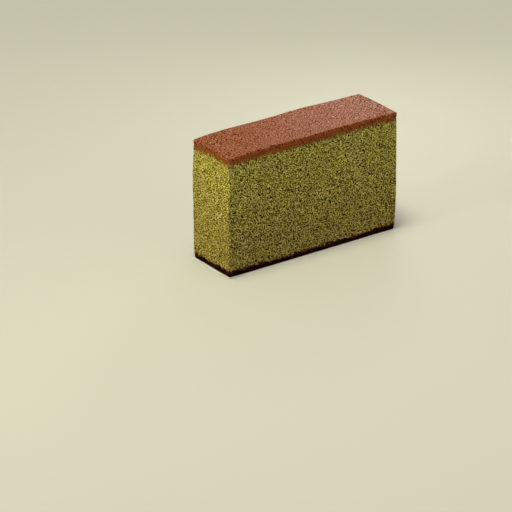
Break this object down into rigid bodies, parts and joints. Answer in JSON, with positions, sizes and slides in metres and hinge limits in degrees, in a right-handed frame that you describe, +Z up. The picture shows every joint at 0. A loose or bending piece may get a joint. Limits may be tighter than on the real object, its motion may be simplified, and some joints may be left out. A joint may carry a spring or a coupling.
{
  "type": "slice of castella sponge cake",
  "caption": "Tall rectangular slice of green-tea castella sponge, browned top and dark base crust, on its cut strip of baking paper.",
  "frame": {"origin": "middle of the baking paper's underside", "axes": "+Z up through the browned top, +X along the slice, +Y through its thickness"},
  "size_m": [0.104, 0.032, 0.065],
  "materials": {
    "crumb": "matte",
    "top_crust": "satin",
    "base_crust": "satin",
    "baking_paper": "matte"
  },
  "bodies": {
    "root": {"castella_slice": "crumb", "base_paper": "baking_paper"}
  },
  "joints": []
}
